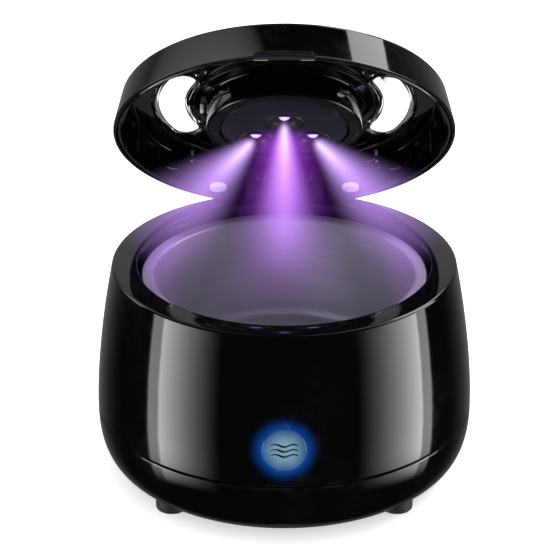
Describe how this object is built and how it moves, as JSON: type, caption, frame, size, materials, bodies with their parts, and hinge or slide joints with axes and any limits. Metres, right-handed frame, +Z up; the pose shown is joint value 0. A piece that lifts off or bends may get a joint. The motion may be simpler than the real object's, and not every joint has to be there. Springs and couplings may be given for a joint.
{
  "type": "ultrasonic cleaner",
  "caption": "Round tabletop ultrasonic cleaner: steel tank, hinged lid with windows and a hanging violet light head, lit push button.",
  "frame": {"origin": "on the surface it stands on, below the middle of the casing", "axes": "+Z up, -Y towards the front with the button, +X to the right seen from the front"},
  "size_m": [0.1226, 0.1251, 0.1539],
  "materials": {
    "gloss_black": "high-gloss moulded ABS",
    "satin_black": "satin",
    "rubber_black": "soft matt",
    "brushed_steel": "fine brushed",
    "bright_steel": "plated",
    "aluminium": "milled",
    "piezo_ceramic": "fired ceramic",
    "circuit_board": "solder mask",
    "copper_winding": "enamelled wire",
    "pale_plastic": "satin",
    "grey_plastic": "satin",
    "red_plastic": "wire cover",
    "clear_window": "clear polished",
    "smoked_lens": "smoked, polished",
    "lit_button": "translucent, lit from behind",
    "violet_lamp": "moulded lamp dome"
  },
  "bodies": {
    "base": {"body_shell": "gloss_black", "base_shell": "gloss_black", "foot_1": "rubber_black", "foot_2": "rubber_black", "foot_3": "rubber_black", "foot_4": "rubber_black", "case_screw_1": "bright_steel", "case_screw_2": "bright_steel", "case_screw_3": "bright_steel", "case_screw_4": "bright_steel", "tank": "brushed_steel", "tank_gasket": "rubber_black", "transducer_block": "aluminium", "piezo_disc": "piezo_ceramic", "lead_red": "red_plastic", "lead_black": "satin_black", "driver_board": "circuit_board", "board_screw_1": "bright_steel", "board_screw_2": "bright_steel", "board_screw_3": "bright_steel", "transformer": "pale_plastic", "choke": "copper_winding", "capacitor_1": "satin_black", "capacitor_2": "satin_black", "heat_sink": "aluminium", "drive_transistor": "satin_black", "hinge_pin": "bright_steel", "power_socket": "satin_black", "tact_switch": "grey_plastic", "control_board": "circuit_board", "button_guide": "pale_plastic", "button_lamp": "lit_button"},
    "button": {"power_button": "lit_button", "switch_plunger": "pale_plastic"},
    "lid": {"lid_shell": "gloss_black", "lid_liner": "gloss_black", "lid_pad_left": "grey_plastic", "lid_pad_right": "grey_plastic", "window_left": "clear_window", "window_right": "clear_window", "light_head": "gloss_black", "head_screw_1": "bright_steel", "head_screw_2": "bright_steel", "head_screw_3": "bright_steel", "head_lens": "smoked_lens", "lamp_board": "circuit_board", "lamp_cup_1": "satin_black", "lamp_cup_2": "satin_black", "lamp_cup_3": "satin_black", "lamp_1": "violet_lamp", "lamp_2": "violet_lamp", "lamp_3": "violet_lamp", "hinge_block": "gloss_black", "hinge_screw_1": "bright_steel", "hinge_screw_2": "bright_steel", "catch_carrier": "satin_black", "catch_tab_left": "grey_plastic", "catch_tab_right": "grey_plastic"}
  },
  "joints": [
    {"name": "lid_hinge", "type": "hinge", "parent": "base", "child": "lid", "pos_m": [0, 0.0492, 0.0673], "axis": [-1, 0, 0], "range_deg": [-48, 27]},
    {"name": "button_press", "type": "slide", "parent": "base", "child": "button", "axis": [0, 0.9971, -0.0762], "range_m": [0, 0.0006], "stiffness_N_per_m": 1200, "springref_m": -0.0006}
  ]
}
